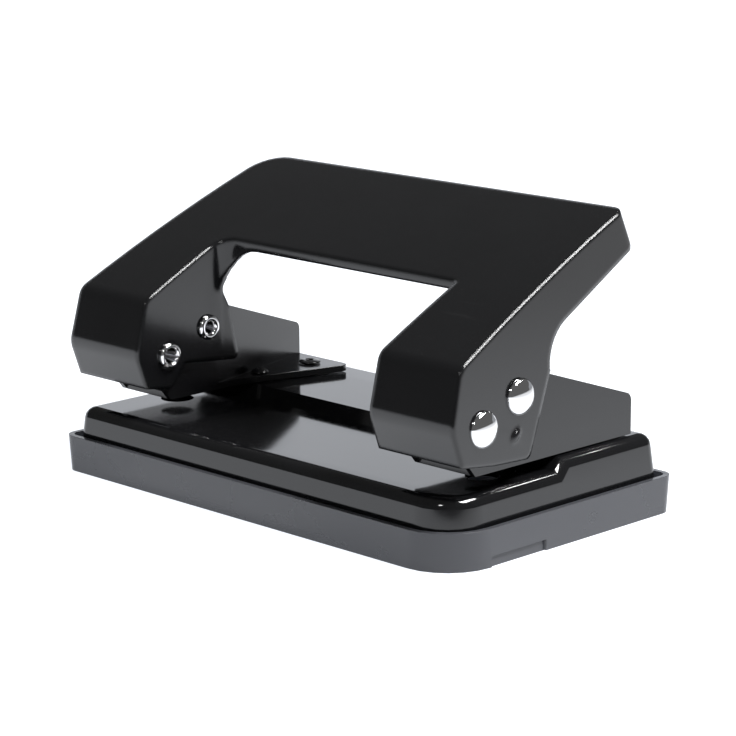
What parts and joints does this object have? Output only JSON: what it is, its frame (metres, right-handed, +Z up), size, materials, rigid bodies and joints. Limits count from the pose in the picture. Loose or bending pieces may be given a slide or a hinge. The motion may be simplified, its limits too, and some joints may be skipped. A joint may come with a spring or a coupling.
{
  "type": "two-hole paper punch",
  "caption": "Two-hole paper punch with a pressed steel lever, riveted brackets, sprung punches and a pull-off chip tray.",
  "frame": {"origin": "centre of the box at its bottom, on the chip tray's underside", "axes": "+X along the row of punches, +Y from the paper side to the handle, +Z up"},
  "size_m": [0.1026, 0.0582, 0.0553],
  "materials": {
    "black_paint": "gloss black enamel",
    "smoked_plastic": "smoky translucent, satin",
    "bright_plate": "bright nickel plating",
    "hard_steel": "ground steel",
    "spring_steel": "drawn wire"
  },
  "bodies": {
    "tray": {"chip_tray": "smoked_plastic"},
    "frame": {"base_plate": "black_paint", "bracket_left": "black_paint", "pivot_pin_left": "bright_plate", "foot_rivet_left": "black_paint", "foot_eyelet_left": "black_paint", "spring_left": "spring_steel", "bracket_right": "black_paint", "pivot_pin_right": "bright_plate", "foot_rivet_right": "black_paint", "foot_eyelet_right": "black_paint", "spring_right": "spring_steel"},
    "lever": {"lever": "black_paint", "lift_pin_left": "bright_plate", "lift_pin_right": "bright_plate"},
    "punch_left": {"punch_left": "hard_steel", "spring_collar_left": "hard_steel", "snap_ring_left": "hard_steel"},
    "punch_right": {"punch_right": "hard_steel", "spring_collar_right": "hard_steel", "snap_ring_right": "hard_steel"}
  },
  "joints": [
    {"name": "tray_pull", "type": "slide", "parent": "tray", "child": "frame", "axis": [0, 0, 1], "range_m": [0, 0.02]},
    {"name": "lever_press", "type": "hinge", "parent": "frame", "child": "lever", "pos_m": [0, -0.0197, 0.0238], "axis": [-1, 0, 0], "range_deg": [0, 20], "stiffness_Nm_per_rad": 0.3, "springref_deg": -14.32},
    {"name": "punch_left_drive", "type": "slide", "parent": "frame", "child": "punch_left", "axis": [0, 0, -1], "range_m": [0, 0.0036], "deforming": ["spring_left"]},
    {"name": "punch_right_drive", "type": "slide", "parent": "frame", "child": "punch_right", "axis": [0, 0, -1], "range_m": [0, 0.0036], "deforming": ["spring_right"]}
  ],
  "couplings": [
    {"joint": "punch_left_drive", "follows": "lever_press", "m_per_rad": 0.01014},
    {"joint": "punch_right_drive", "follows": "lever_press", "m_per_rad": 0.01014}
  ]
}
